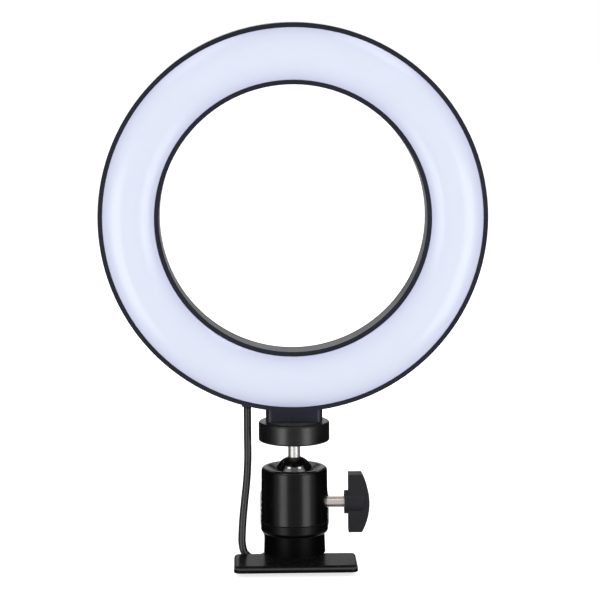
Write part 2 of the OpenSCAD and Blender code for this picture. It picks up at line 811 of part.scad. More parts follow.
module cord_drop() { lead(drop_route, [1, -1, 0]); }
module cord_floor() { lead(floor_route, [1, -1, 0]); }
module cord_tail() { lead(tail_route, [0, 0, 1]); }
module cord_hank() { color(black) tube(hank_path, cord_d, form_sides, [0, 0, 1]); }

module cable_tie() {
    w = 2 * (hank_in_r + hank_step + cord_r + tie_slip);
    h = hank_top + tie_slip - tie_t;
    color(soft_black) translate([hank_x, tie_y + tie_w / 2, tie_t + h / 2]) rotate([90, 0, 0])
        linear_extrude(tie_w) difference() {
            rounded_rect(w + 2 * tie_t, h + 2 * tie_t, tie_round);
            rounded_rect(w, h, tie_round - tie_t);
        }
}

module plug_body() {
    color(black) translate([hank_x, plug_y, plug_z]) rotate([90, 0, 0]) {
        linear_extrude(plug_size[1]) rounded_rect(plug_size[0], plug_size[2], plug_round);
        translate([0, 0, -relief_len]) cylinder(r1 = relief_r, r2 = relief_base_r, h = relief_len);
    }
}

module plug_shell() {
    color(steel) translate([hank_x, plug_y - plug_size[1], plug_z]) rotate([90, 0, 0]) linear_extrude(usb[1])
        difference() {
            square([usb[0], usb[2]], center = true);
            square([usb[0] - 2 * usb_wall, usb[2] - 2 * usb_wall], center = true);
        }
}

module plug_tongue() {
    length = usb[1] - tongue_back;
    rise = usb[2] / 2 - usb_wall - tongue_t / 2;
    color("white") translate([hank_x, plug_y - plug_size[1] - length / 2, plug_z + rise])
        cube([usb[0] - 2 * usb_wall, length, tongue_t], center = true);
}

front_frame();
diffuser();
led_board();
led_chips();
board_screws();
driver_board();
key_switches();
button_power();
button_dim();
button_bright();
rear_cover();
cover_screws();
thread_insert();
cord_gland();
lead_wires();
ball();
stud();
lock_nut();
nut_insert();
nut_washer();
ball_cup();
housing();
retaining_ring();
clamp_shoe();
base_cap();
neck();
base_screw();
lock_knob();
lock_screw();
upper_jaw();
upper_pad();
lower_jaw();
lower_pad();
hinge_pin();
clip_spring();
cord_drop();
cord_floor();
cord_hank();
cord_tail();
cable_tie();
plug_body();
plug_shell();
plug_tongue();
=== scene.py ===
import math
import bmesh
import bpy
from mathutils import Matrix, Vector


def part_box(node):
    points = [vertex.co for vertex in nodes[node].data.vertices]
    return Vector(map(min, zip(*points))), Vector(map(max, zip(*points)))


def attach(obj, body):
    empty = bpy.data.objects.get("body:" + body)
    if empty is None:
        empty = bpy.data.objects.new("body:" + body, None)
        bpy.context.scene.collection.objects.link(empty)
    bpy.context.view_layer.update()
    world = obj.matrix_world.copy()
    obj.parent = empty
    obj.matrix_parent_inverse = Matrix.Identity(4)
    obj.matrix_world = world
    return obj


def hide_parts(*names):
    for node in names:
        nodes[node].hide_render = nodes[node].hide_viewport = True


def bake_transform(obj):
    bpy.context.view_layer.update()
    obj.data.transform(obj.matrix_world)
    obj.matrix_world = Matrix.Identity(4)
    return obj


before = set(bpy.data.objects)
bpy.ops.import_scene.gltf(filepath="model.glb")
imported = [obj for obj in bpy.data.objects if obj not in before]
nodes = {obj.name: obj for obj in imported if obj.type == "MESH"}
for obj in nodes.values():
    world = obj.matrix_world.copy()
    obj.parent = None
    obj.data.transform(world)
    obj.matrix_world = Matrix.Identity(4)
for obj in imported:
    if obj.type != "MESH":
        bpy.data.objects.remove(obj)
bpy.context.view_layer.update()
scene = bpy.context.scene
scene.view_settings.view_transform = "Standard"
mm = 0.001  # the shapes below are in millimetres
print("frame loaded:", len(nodes), "nodes")

# camera, at the photograph's height and angle
cameraSet = {"place": (-0.0205, -0.933, 0.2390), "pitchDown": 7.8, "turnRight": 1.43, "roll": -0.3, "lens": 136.3,
             "sensor": 36, "clip": (0.01, 50)}


def turnAbout(axis, degrees):
    return Matrix.Rotation(math.radians(degrees), 4, axis)


def makeCamera(s):
    data = bpy.data.cameras.new("camera")
    data.sensor_width = s["sensor"]
    data.lens = s["lens"]
    data.clip_start, data.clip_end = s["clip"]
    cam = bpy.data.objects.new("camera", data)
    scene.collection.objects.link(cam)
    aim = turnAbout("Z", -s["turnRight"]) @ turnAbout("X", 90 - s["pitchDown"]) @ turnAbout("Z", s["roll"])
    cam.matrix_world = Matrix.Translation(s["place"]) @ aim
    scene.camera = cam


makeCamera(cameraSet)
print("camera set")


# mesh helpers
def newPiece(name, verts, faces, smooth=True):
    mesh = bpy.data.meshes.new(name)
    mesh.from_pydata([tuple(v) for v in verts], [], faces)
    mesh.validate()
    work = bmesh.new()
    work.from_mesh(mesh)
    bmesh.ops.recalc_face_normals(work, faces=work.faces)
    work.to_mesh(mesh)
    work.free()
    if smooth:
        mesh.polygons.foreach_set("use_smooth", [True] * len(mesh.polygons))
    piece = bpy.data.objects.new(name, mesh)
    scene.collection.objects.link(piece)
    return piece


def sweptFaces(rows, count, closed=False):
    # quads between rows of count points each, closed joins the last row to the first
    faces = []
    for i in range(rows if closed else rows - 1):
        j = (i + 1) % rows
        for k in range(count):
            n = (k + 1) % count
            faces.append((i * count + k, i * count + n, j * count + n, j * count + k))
    return faces


def firstCap(count):
    return tuple(reversed(range(count)))


def lastCap(rows, count):
    return tuple(range((rows - 1) * count, rows * count))


def smoothRoute(route, steps):
    # a smooth line through every point of the route
    pts = [Vector(p) for p in route]
    out = []
    for i in range(len(pts) - 1):
        a, b, c, d = pts[max(i - 1, 0)], pts[i], pts[i + 1], pts[min(i + 2, len(pts) - 1)]
        for k in range(steps):
            t = k / steps
            bend = (2 * a - 5 * b + 4 * c - d) * t * t + (3 * b - a - 3 * c + d) * t ** 3
            out.append(0.5 * (2 * b + (c - a) * t + bend))
    return out + [pts[-1]]


def routeLength(pts):
    return sum((b - a).length for a, b in zip(pts, pts[1:]))


def evenRoute(pts, gap):
    # points a fixed distance apart along the line, both ends kept
    tiny = 1e-9
    total = routeLength(pts)
    count = max(2, round(total / gap))
    out, done, i = [], 0.0, 0
    for k in range(count):
        mark = total * k / count
        while done + (pts[i + 1] - pts[i]).length < mark and i < len(pts) - 2:
            done += (pts[i + 1] - pts[i]).length
            i += 1
        out.append(pts[i].lerp(pts[i + 1], (mark - done) / max((pts[i + 1] - pts[i]).length, tiny)))
    return out + [pts[-1]]


def tubePiece(name, pts, radius, sides, before=None, after=None):
    # frames are carried along the line, so the tube doesn't twist
    # before and after are the line's next points past its ends: such an end meets another tube and has no cap
    line = [before or pts[0], *pts, after or pts[-1]]
    heads = [(c - a).normalized() for a, c in zip(line, line[2:])]
    side = heads[0].orthogonal().normalized()
    verts = []
    for p, h in zip(pts, heads):
        side = (side - h * side.dot(h)).normalized()
        up = h.cross(side)
        for k in range(sides):
            a = 2 * math.pi * k / sides
            verts.append(p + radius * (side * math.cos(a) + up * math.sin(a)))
    faces = sweptFaces(len(pts), sides)
    wall = len(faces)
    if before is None:
        faces.append(firstCap(sides))
    if after is None:
        faces.append(lastCap(len(pts), sides))
    tube = newPiece(name, verts, faces)
    for cap in tube.data.polygons[wall:]:
        cap.use_smooth = False
    return tube


# the lead: hangs from the ring, runs back along the table, is folded into a tied hank and ends in its plug
# a layer of the hank is one turn in or out, and half a turn that climbs to the next layer
leadSet = {
    "diameter": 3.2, "sides": 20, "spacing": 1.0, "routeSteps": 10,
    "topLength": 31.2, "sideLength": 34.5, "stillEnds": 0.06,
    "hang": [(-19.4, 1.5, 66.3), (-19.4, 1.5, 62.6), (-19.4, 1.5, 52), (-19.4, 1.5, 44), (-19.9, 1.2, 35),
             (-20.9, 0.6, 26), (-21.7, -0.2, 18), (-22, -0.8, 13)],
    "table": [(-22.1, -1.3, 9), (-21.3, -1.6, 5), (-19, -1.5, 2.5), (-16, -0.6, 1.7), (-13.6, 1.6, 1.6),
              (-12, 5, 1.6), (-11.2, 10, 1.6), (-10.9, 16, 1.6), (-10.8, 24, 1.6), (-10.8, 32, 1.6),
              (-10.9, 40, 1.7), (-11.4, 47.5, 2.1), (-11.65, 52.5, 2.2), (-11.65, 55.5, 2.2)],
    "hankMiddle": (1.4, 55.5), "hankRun": 48, "hankInside": 9, "hankStep": 4.05, "hankLow": 2.2, "hankLayers": 4,
    "layerTurns": 1.5, "turnSteps": 60, "hankSides": 14, "tailSteps": 6, "plugEnd": (1.4, 82.5, 20.65),
    "tail": [(0, 0, 0), (0, 0.14, 0.01), (0.03, 0.31, 0.21), (0.17, 0.48, 0.63), (0.47, 0.64, 0.92),
             (0.81, 0.79, 0.99), (1, 0.93, 1), (1, 1, 1)],
}


def hankPoint(s, t):
    # t counts turns: a quarter for each straight run and each round end
    layer = math.floor(t / s["layerTurns"])
    part = t - s["layerTurns"] * layer
    wound = min(part, 1) if layer % 2 == 0 else 1 - min(part, 1)
    r = s["hankInside"] + s["hankStep"] * (1 - wound)
    z = s["hankLow"] + s["hankStep"] * (layer + 2 * max(part - 1, 0))
    run, q = s["hankRun"], t - math.floor(t)
    if q < 0.25:
        x, y = -r, 4 * q * run
    elif q < 0.5:
        a = 4 * math.pi * (q - 0.25)
        x, y = -r * math.cos(a), run + r * math.sin(a)
    elif q < 0.75:
        x, y = r, (3 - 4 * q) * run
    else:
        a = 4 * math.pi * (q - 0.75)
        x, y = r * math.cos(a), -r * math.sin(a)
    return Vector((s["hankMiddle"][0] + x, s["hankMiddle"][1] + y, z))


def makeLead(s):
    diameter = s["diameter"] * mm
    laid = evenRoute([p * mm for p in smoothRoute(s["hang"] + s["table"], s["routeSteps"])], s["spacing"] * mm)
    total = routeLength(laid)
    cuts = [0, s["topLength"] * mm, (s["topLength"] + s["sideLength"]) * mm, total]
    marks = [round(c * (len(laid) - 1) / total) for c in cuts]
    names = ["leadTop", "leadSide", "leadTable"]
    pairs = [("ring", "ball_stud"), ("ball_stud", "head"), ("head", "clip")]
    made = []
    for name, (a, b), i, j in zip(names, pairs, marks, marks[1:]):
        pts = laid[i:j + 1]
        before = laid[i - 1] if i else None
        after = laid[j + 1] if j + 1 < len(laid) else None
        piece = tubePiece(name, pts, diameter / 2, s["sides"], before, after)
        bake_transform(piece)
        made.append(piece)
    steps = s["turnSteps"]
    turns = s["hankLayers"] * s["layerTurns"] - 0.5  # the last layer doesn't climb
    wound = [hankPoint(s, k / steps) for k in range(int(turns * steps) + 1)]
    last, plug = wound[-1], s["plugEnd"]
    route = [[last[i] + (plug[i] - last[i]) * p[i] for i in range(3)] for p in s["tail"]]
    pts = [p * mm for p in wound + smoothRoute(route, s["tailSteps"])[1:]]
    hank = tubePiece("leadHank", pts, diameter / 2, s["hankSides"])
    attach(hank, "clip")
    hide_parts("cord_drop")
    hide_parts("cord_floor")
    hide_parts("cord_hank", "cord_tail")
    print("lead made, metres:", round(total + routeLength(pts), 3))
    return made + [hank]


leadPieces = makeLead(leadSet)

# strap round the hank, with its free end lapped over it
# lapFrom and lapLength are shares of the way round
strapSet = {"middle": (1.4, 64.5), "width": 9, "thick": 0.5, "edge": 0.15, "outside": (30.5, 16.55), "corner": 2.2,
            "cornerSteps": 8, "spacing": 1.0, "lapFrom": 0.272, "lapLength": 0.055, "lapGap": 0.05}


def strapOutline(s):
    (w, h), r, steps = s["outside"], s["corner"], s["cornerSteps"]
    right, top = w / 2 - r, h - r
    pts = []
    for cx, cz, first in ((right, top, 0), (-right, top, 90), (-right, r, 180), (right, r, 270)):
        for k in range(steps + 1):
            a = math.radians(first + 90 * k / steps)
            pts.append(Vector((cx + r * math.cos(a), 0, cz + r * math.sin(a))))
    return pts


def strapBand(pts, outs, s, rise, closed):
    # a flat band with bevelled edges, swept along the outline
    w, t, e = s["width"] / 2, s["thick"], s["edge"]
    section = [(-w, e), (-w + e, 0), (w - e, 0), (w, e), (w, t - e), (w - e, t), (-w + e, t), (-w, t - e)]
    verts = []
    for p, out in zip(pts, outs):
        for y, depth in section:
            place = Vector((s["middle"][0], s["middle"][1] + y, 0))
            verts.append((p + out * (depth - t + rise) + place) * mm)
    faces = sweptFaces(len(pts), len(section), closed)
    if not closed:
        faces += [firstCap(len(section)), lastCap(len(pts), len(section))]
    return verts, faces


def makeStrap(s):
    line = strapOutline(s)
    ring = evenRoute(line + [line[0]], s["spacing"])[:-1]
    count = len(ring)
    outs = []
    for i in range(count):
        along = (ring[(i + 1) % count] - ring[i - 1]).normalized()
        outs.append(Vector((along.z, 0, -along.x)))
    verts, faces = strapBand(ring, outs, s, 0, True)
    first = int(count * s["lapFrom"])
    lap = [(first + k) % count for k in range(int(count * s["lapLength"]))]
    rise = s["thick"] + s["lapGap"]
    lapVerts, lapFaces = strapBand([ring[i] for i in lap], [outs[i] for i in lap], s, rise, False)
    faces += [tuple(i + len(verts) for i in f) for f in lapFaces]
    strap = newPiece("hankStrap", verts + lapVerts, faces, smooth=False)
    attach(strap, "clip")
    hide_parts("cable_tie")
    return strap


strap = makeStrap(strapSet)
print("strap made")

# clip spring: a coil round the pin, which winds up as the jaw opens
# one leg lies on the lower tail and one under the handle
springSet = {"pin": (25, 5.4), "coilRadius": 2.2, "wire": 1.1, "wireSides": 14, "turns": 5, "width": 8.5,
             "handleRise": 30, "leg": 9, "lowerTip": 3.55, "upperTip": 3.118, "turnSteps": 28}


def springSweep(s):
    return 360 * s["turns"] + 180 - s["handleRise"]


def springPoint(s, turned, radius, side=0, reach=0):
    # a point on the coil, or with a reach, one on the leg that leaves it there
    a = math.radians(-90 - turned)
    x = s["width"] * (turned / springSweep(s) - 0.5)
    y = s["pin"][0] + radius * math.cos(a) + side * reach * math.sin(a)
    z = s["pin"][1] + radius * math.sin(a) - side * reach * math.cos(a)
    return Vector((x, y, z)) * mm


def makeSpring(s):
    sweep, radius, wire, leg = springSweep(s), s["coilRadius"], s["wire"], s["leg"]
    count = round(sweep * s["turnSteps"] / 360)
    line = [springPoint(s, 0, s["lowerTip"], -1, leg), springPoint(s, 0, radius, -1, wire)]
    line += [springPoint(s, sweep * k / count, radius) for k in range(count + 1)]
    line += [springPoint(s, sweep, radius, 1, wire), springPoint(s, sweep, s["upperTip"], 1, leg)]
    spring = tubePiece("jawSpring", line, wire * mm / 2, s["wireSides"])
    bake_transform(spring)
    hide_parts("clip_spring")
    return spring


spring = makeSpring(springSet)
print("spring made")


# node helpers
def color(r, g, b):
    return (r, g, b, 1)


def setInput(tree, socket, value):
    if isinstance(value, bpy.types.NodeSocket):
        tree.links.new(value, socket)
    else:
        socket.default_value = value


def addNode(tree, kind, inputs=None, **settings):
    node = tree.nodes.new("ShaderNode" + kind)
    for key, value in settings.items():
        setattr(node, key, value)
    for key, value in (inputs or {}).items():
        setInput(tree, node.inputs[key], value)
    return node


def mathNode(tree, how, a, b=0.5, clamp=False):
    return addNode(tree, "Math", {0: a, 1: b}, operation=how, use_clamp=clamp).outputs[0]


def times(tree, a, b, clamp=False):
    return mathNode(tree, "MULTIPLY", a, b, clamp)


def distance(tree, value, middle):
    return mathNode(tree, "ABSOLUTE", mathNode(tree, "SUBTRACT", value, middle))


def stretchTo(tree, value, given, wanted=(0.0, 1.0)):
    # takes the given range of the value to the wanted one
    ends = {"From Min": given[0], "From Max": given[1], "To Min": wanted[0], "To Max": wanted[1]}
    return addNode(tree, "MapRange", {"Value": value, **ends}).outputs[0]


def noise(tree, place, scale, detail, rough=0.5):
    inputs = {"Vector": place, "Scale": scale, "Detail": detail, "Roughness": rough}
    return addNode(tree, "TexNoise", inputs).outputs["Fac"]


def blendColor(tree, factor, a, b):
    node = addNode(tree, "Mix", data_type="RGBA")
    for number, value in ((0, factor), (6, a), (7, b)):  # the colour sockets of the Mix node
        setInput(tree, node.inputs[number], value)
    return node.outputs[2]


def coords(tree, kind="Object"):
    return addNode(tree, "TexCoord").outputs[kind]


def parts(tree, vector):
    return addNode(tree, "SeparateXYZ", {0: vector}).outputs


# shader groups: each puts out what changes over a surface
def newGroup(name, inputs, outputs):
    group = bpy.data.node_groups.new(name, "ShaderNodeTree")
    for label, kind, value in inputs:
        socket = group.interface.new_socket(label, in_out="INPUT", socket_type="NodeSocket" + kind)
        socket.default_value = value
    for label, kind in outputs:
        group.interface.new_socket(label, in_out="OUTPUT", socket_type="NodeSocket" + kind)
    enter, leave = group.nodes.new("NodeGroupInput"), group.nodes.new("NodeGroupOutput")
    return group, enter.outputs, leave.inputs


skinInputs = [("Color", "Color", color(0.5, 0.5, 0.5)), ("Other Color", "Color", color(0.4, 0.4, 0.4)),
              ("Roughness", "Float", 0.4), ("Rough Spread", "Float", 0.1)]
skinOutputs = [("Color", "Color"), ("Roughness", "Float"), ("Height", "Float")]
maskOutput = [("Mask", "Float")]


def putSkin(group, given, out, spread, height):
    # the spread mixes the two colours and swings the roughness about its middle
    group.links.new(blendColor(group, spread, given["Color"], given["Other Color"]), out["Color"])
    swing = times(group, mathNode(group, "SUBTRACT", spread, 0.5), given["Rough Spread"])
    group.links.new(mathNode(group, "ADD", given["Roughness"], swing, True), out["Roughness"])
    group.links.new(height, out["Height"])


def putMask(group, given, out, a, b):
    group.links.new(times(group, times(group, a, b), given["Amount"], True), out["Mask"])


# moulded skin: fine pebble in the height, soft cloud in colour and roughness
skinSet = {"cloudDetail": 3.0, "cloudShare": 0.7, "pebbleDetail": 2.0, "pebbleShare": 0.3, "range": (0.3, 0.7)}


def makeSkinGroup(s):
    scales = [("Pebble Scale", "Float", 2500.0), ("Cloud Scale", "Float", 60.0)]
    group, given, out = newGroup("mouldedSkin", skinInputs + scales, skinOutputs)
    place = coords(group)
    cloud = noise(group, place, given["Cloud Scale"], s["cloudDetail"])
    pebble = noise(group, place, given["Pebble Scale"], s["pebbleDetail"])
    both = mathNode(group, "ADD", times(group, cloud, s["cloudShare"]), times(group, pebble, s["pebbleShare"]))
    putSkin(group, given, out, stretchTo(group, both, s["range"]), pebble)
    return group


# handling marks: short fine scratches in a few rubbed patches
marksSet = {"turn": (0.4, 0.9, 0.3), "stretch": (1, 14, 3), "lineDetail": 4.0, "lineRough": 0.7, "lines": (0.64, 0.74),
            "patchDetail": 2.0, "patches": (0.5, 0.75)}


def makeMarksGroup(s):
    inputs = [("Scale", "Float", 120.0), ("Amount", "Float", 0.3)]
    group, given, out = newGroup("handlingMarks", inputs, maskOutput)
    place = coords(group)
    pulled = addNode(group, "Mapping", {"Vector": place, "Rotation": s["turn"], "Scale": s["stretch"]}).outputs[0]
    lines = noise(group, pulled, given["Scale"], s["lineDetail"], s["lineRough"])
    patch = noise(group, place, given["Scale"], s["patchDetail"])
    putMask(group, given, out, stretchTo(group, lines, s["lines"]), stretchTo(group, patch, s["patches"]))
    return group


# dust that settles on what faces up
dustSet = {"facing": (0.3, 1.0), "detail": 5.0, "rough": 0.7, "specks": (0.45, 0.75)}


def makeDustGroup(s):
    inputs = [("Scale", "Float", 400.0), ("Amount", "Float", 0.1)]
    group, given, out = newGroup("settledDust", inputs, maskOutput)
    up = parts(group, addNode(group, "NewGeometry").outputs["Normal"])["Z"]
    speck = noise(group, coords(group), given["Scale"], s["detail"], s["rough"])
    putMask(group, given, out, stretchTo(group, up, s["facing"]), stretchTo(group, speck, s["specks"]))
    return group


# edges lighter where a rounded normal turns away from the face, broken up along the edge: partly rubbed wear, partly a
# painted highlight along the edge
edgeSet = {"samples": 6, "turned": (0.99, 0.8), "detail": 4.0, "specks": (0.3, 0.6), "least": 0.35}


def makeEdgeGroup(s):
    inputs = [("Radius", "Float", 0.0003), ("Scale", "Float", 300.0), ("Amount", "Float", 0.3)]
    group, given, out = newGroup("edgeWearAndHighlight", inputs, maskOutput)
    face = addNode(group, "NewGeometry").outputs["Normal"]
    turned = addNode(group, "Bevel", {"Radius": given["Radius"]}, samples=s["samples"]).outputs[0]
    same = addNode(group, "VectorMath", {0: face, 1: turned}, operation="DOT_PRODUCT").outputs["Value"]
    speck = noise(group, coords(group), given["Scale"], s["detail"])
    broken = stretchTo(group, speck, s["specks"], (s["least"], 1.0))
    putMask(group, given, out, stretchTo(group, same, s["turned"]), broken)
    return group


# turned or drawn metal: fine lines across the given direction
linesSet = {"detail": 4.0, "range": (0.3, 0.7)}


def makeLinesGroup(s):
    pull = [("Stretch", "Vector", (1, 1, 12)), ("Line Scale", "Float", 900.0)]
    group, given, out = newGroup("drawnLines", skinInputs + pull, skinOutputs)
    pulled = addNode(group, "VectorMath", {0: coords(group), 1: given["Stretch"]}, operation="MULTIPLY").outputs[0]
    lines = noise(group, pulled, given["Line Scale"], s["detail"])
    putSkin(group, given, out, stretchTo(group, lines, s["range"]), lines)
    return group


mouldedSkin = makeSkinGroup(skinSet)
handlingMarks = makeMarksGroup(marksSet)
settledDust = makeDustGroup(dustSet)
edgeWearAndHighlight = makeEdgeGroup(edgeSet)
drawnLines = makeLinesGroup(linesSet)
print("shader groups made")


# materials
def placeGroup(tree, group, **values):
    node = tree.nodes.new("ShaderNodeGroup")
    node.node_tree = group
    for key, value in values.items():
        node.inputs[key.replace("_", " ")].default_value = value
    return node.outputs


def newMaterial(name, sockets):
    material = bpy.data.materials.new(name)
    material.use_nodes = True
    shader = material.node_tree.nodes["Principled BSDF"]
    for key, value in sockets.items():
        shader.inputs[key].default_value = value
    return material, material.node_tree, shader.inputs


def placeSkin(tree, s):
    return placeGroup(tree, mouldedSkin, Color=s["color"], Other_Color=s["other"], Roughness=s["rough"],
                      Rough_Spread=s["spread"], Pebble_Scale=s["pebble"], Cloud_Scale=s["cloud"])


def bumpTo(tree, target, height, s):
    bump = addNode(tree, "Bump", {"Height": height, "Strength": s["bump"], "Distance": s["bumpDepth"]})
    tree.links.new(bump.outputs[0], target)


# what the plastics share unless their own set says otherwise
plasticBase = {"specular": 0.5, "markScale": 120, "edges": 0.3, "edgeRadius": 0.0003,
               "dustColor": color(0.42, 0.41, 0.4), "dulling": 0.5}


def plasticFinish(name, own):
    s = {**plasticBase, **own}
    material, tree, shader = newMaterial(name, {"Specular IOR Level": s["specular"]})
    skin = placeSkin(tree, s)
    scratches = placeGroup(tree, handlingMarks, Scale=s["markScale"], Amount=s["marks"])["Mask"]
    # lighter rounded edges: partly wear, partly a painted highlight
    edges = placeGroup(tree, edgeWearAndHighlight, Radius=s["edgeRadius"], Amount=s["edges"])["Mask"]
    marks = mathNode(tree, "MAXIMUM", scratches, edges)
    # painted highlight: a lighter line in the mark colour along a rounded edge, where the set asks for one
    if "crest" in s:
        marks = mathNode(tree, "MAXIMUM", marks, crestMask(tree, s["crest"]))
    dust = placeGroup(tree, settledDust, Amount=s["dust"])["Mask"]
    # the mark colour goes on the scratches, the edge mask and any highlight line: partly wear, partly painted highlight
    markColor = blendColor(tree, marks, skin["Color"], s["markColor"])
    tree.links.new(blendColor(tree, dust, markColor, s["dustColor"]), shader["Base Color"])
    dulled = times(tree, mathNode(tree, "ADD", marks, dust), s["dulling"])
    tree.links.new(mathNode(tree, "ADD", skin["Roughness"], dulled, True), shader["Roughness"])
    bumpTo(tree, shader["Normal"], skin["Height"], s)
    return material


def crestMask(tree, s):
    # painted highlight: a lighter line along a rounded edge, where the face has about this slope
    facing = parts(tree, coords(tree, "Normal"))["Z"]
    return stretchTo(tree, distance(tree, facing, s["slope"]), (0.0, s["span"]), (s["amount"], 0.0))


metalBase = {"metallic": 1.0, "markScale": 200, "bumpDepth": 0.00002}


def metalFinish(name, own):
    s = {**metalBase, **own}
    material, tree, shader = newMaterial(name, {"Metallic": s["metallic"]})
    lines = placeGroup(tree, drawnLines, Color=s["color"], Other_Color=s["other"], Roughness=s["rough"],
                       Rough_Spread=s["spread"], Stretch=s["stretch"], Line_Scale=s["lines"])
    marks = placeGroup(tree, handlingMarks, Scale=s["markScale"], Amount=s["marks"])["Mask"]
    tree.links.new(blendColor(tree, marks, lines["Color"], s["markColor"]), shader["Base Color"])
    tree.links.new(lines["Roughness"], shader["Roughness"])
    bumpTo(tree, shader["Normal"], lines["Height"], s)
    return material


def dress(names, material):
    for name in names:
        piece = nodes[name] if isinstance(name, str) else name
        piece.data.materials.clear()
        piece.data.materials.append(material)


# ring frame: satin black moulding
rimSet = {"color": color(0.0095, 0.0105, 0.018), "other": color(0.0135, 0.015, 0.0245), "specular": 0.12,
          "rough": 0.36, "spread": 0.1, "pebble": 2600, "cloud": 45, "marks": 0.25,
          "markColor": color(0.06, 0.06, 0.065), "dust": 0.05, "bump": 0.12, "bumpDepth": 0.00006}
dress(["front_frame", "cord_gland"], plasticFinish("satinBlackMoulding", rimSet))

# rear cover: the same plastic with a spark-eroded matte texture
coverSet = {**rimSet, "color": color(0.016, 0.0165, 0.019), "other": color(0.026, 0.0265, 0.03),
            "rough": 0.6, "pebble": 1900, "dust": 0.03, "bump": 0.35, "bumpDepth": 0.00009}
dress(["rear_cover"], plasticFinish("matteBlackCover", coverSet))

# diffuser: domed milky plastic, darker and a little lilac towards both rims: the lilac is a tint, the darkening is
# painted shade of the dome's rounding
diffuserSet = {"color": color(0.785, 0.835, 0.97), "other": color(0.765, 0.815, 0.955), "specular": 0.14,
               "rough": 0.2, "spread": 0.05, "pebble": 3200, "cloud": 30, "bump": 0.06, "bumpDepth": 0.00004,
               "edge": color(0.62, 0.63, 0.87), "edgeAmount": 0.75, "edgeCurve": 4.0,
               "axisHeight": 0.1456, "inside": 0.0569, "outside": 0.0781}


def milkyFinish(s):
    material, tree, shader = newMaterial("milkyDiffuser", {"Specular IOR Level": s["specular"]})
    place = parts(tree, coords(tree))
    up = mathNode(tree, "SUBTRACT", place["Z"], s["axisHeight"])
    squares = mathNode(tree, "ADD", times(tree, place["X"], place["X"]), times(tree, up, up))
    far = mathNode(tree, "SQRT", squares)
    across = stretchTo(tree, far, (s["inside"], s["outside"]), (-1.0, 1.0))
    # painted shade: the colour turns darker and more lilac towards both rims
    edge = mathNode(tree, "POWER", mathNode(tree, "ABSOLUTE", across), s["edgeCurve"], True)
    skin = placeSkin(tree, s)
    tintedAndShaded = blendColor(tree, times(tree, edge, s["edgeAmount"]), skin["Color"], s["edge"])
    tree.links.new(tintedAndShaded, shader["Base Color"])
    tree.links.new(skin["Roughness"], shader["Roughness"])
    bumpTo(tree, shader["Normal"], skin["Height"], s)
    return material


dress(["diffuser"], milkyFinish(diffuserSet))
print("ring dressed")

# ball head: glossy black moulding
headSet = {"color": color(0.0012, 0.0012, 0.0014), "other": color(0.002, 0.002, 0.0022), "specular": 0.12,
           "rough": 0.25, "spread": 0.08, "pebble": 1800, "cloud": 70, "marks": 0.3,
           "markColor": color(0.05, 0.05, 0.05), "dust": 0.03, "bump": 0.05, "bumpDepth": 0.00005}
dress(["housing"], plasticFinish("glossBlackHead", headSet))

# the cap under it and the neck: the same black, duller
capSet = {**headSet, "specular": 0.06, "rough": 0.34}
dress(["base_cap"], plasticFinish("satinBlackCap", capSet))

neckSet = {**headSet, "specular": 0.02, "rough": 0.36}
dress(["neck"], plasticFinish("dullBlackNeck", neckSet))

# the ball: the same black, polished
ballSet = {**headSet, "specular": 1.0, "rough": 0.06, "spread": 0.03, "marks": 0.15, "bump": 0.02}
dress(["ball"], plasticFinish("polishedBall", ballSet))

# lock nut: satin black with a fine turned texture
nutSet = {"color": color(0.005, 0.005, 0.0058), "other": color(0.008, 0.008, 0.0095), "specular": 0.18,
          "rough": 0.3, "spread": 0.12, "pebble": 3000, "cloud": 90, "marks": 0.3,
          "markColor": color(0.07, 0.07, 0.07), "dust": 0.05, "bump": 0.15, "bumpDepth": 0.00005}
dress(["lock_nut"], plasticFinish("satinNut", nutSet))

# wing knob and key switches: matte dark grey
knobSet = {"color": color(0.0095, 0.0092, 0.0122), "other": color(0.0138, 0.0134, 0.017), "specular": 0.1,
           "rough": 0.55, "spread": 0.12, "pebble": 2800, "cloud": 80, "marks": 0.35,
           "markColor": color(0.1, 0.1, 0.105), "dust": 0.08, "bump": 0.25, "bumpDepth": 0.00008}
dress(["lock_knob", "key_switches"], plasticFinish("matteGreyKnob", knobSet))

# push buttons: the same plastic, a lighter grey
buttonSet = {**knobSet, "color": color(0.06, 0.06, 0.063), "other": color(0.075, 0.075, 0.078)}
dress(["button_power", "button_dim", "button_bright"], plasticFinish("greyButton", buttonSet))

# clip jaws: glossy black paint on pressed sheet, with a painted highlight line along the turned edge and lighter edges
# that are partly wear, partly painted highlight
paintSet = {"color": color(0.0035, 0.0035, 0.0035), "other": color(0.005, 0.005, 0.005), "specular": 0.02,
            "rough": 0.25, "spread": 0.08, "pebble": 900, "cloud": 60, "marks": 0.35,
            "markColor": color(0.12, 0.12, 0.12), "dust": 0.03, "bump": 0.06, "bumpDepth": 0.00006,
            "edges": 0.6, "edgeRadius": 0.0004, "crest": {"slope": 0.4, "span": 0.3, "amount": 0.6}}
dress(["upper_jaw", "lower_jaw"], plasticFinish("glossBlackPaint", paintSet))

# rubber pads and washer
rubberSet = {"color": color(0.016, 0.016, 0.016), "other": color(0.03, 0.03, 0.03), "specular": 0.2,
             "rough": 0.75, "spread": 0.15, "pebble": 1500, "cloud": 120, "marks": 0.2,
             "markColor": color(0.07, 0.07, 0.07), "dust": 0.15, "bump": 0.35, "bumpDepth": 0.00012}
dress(["upper_pad", "lower_pad", "nut_washer"], plasticFinish("padRubber", rubberSet))

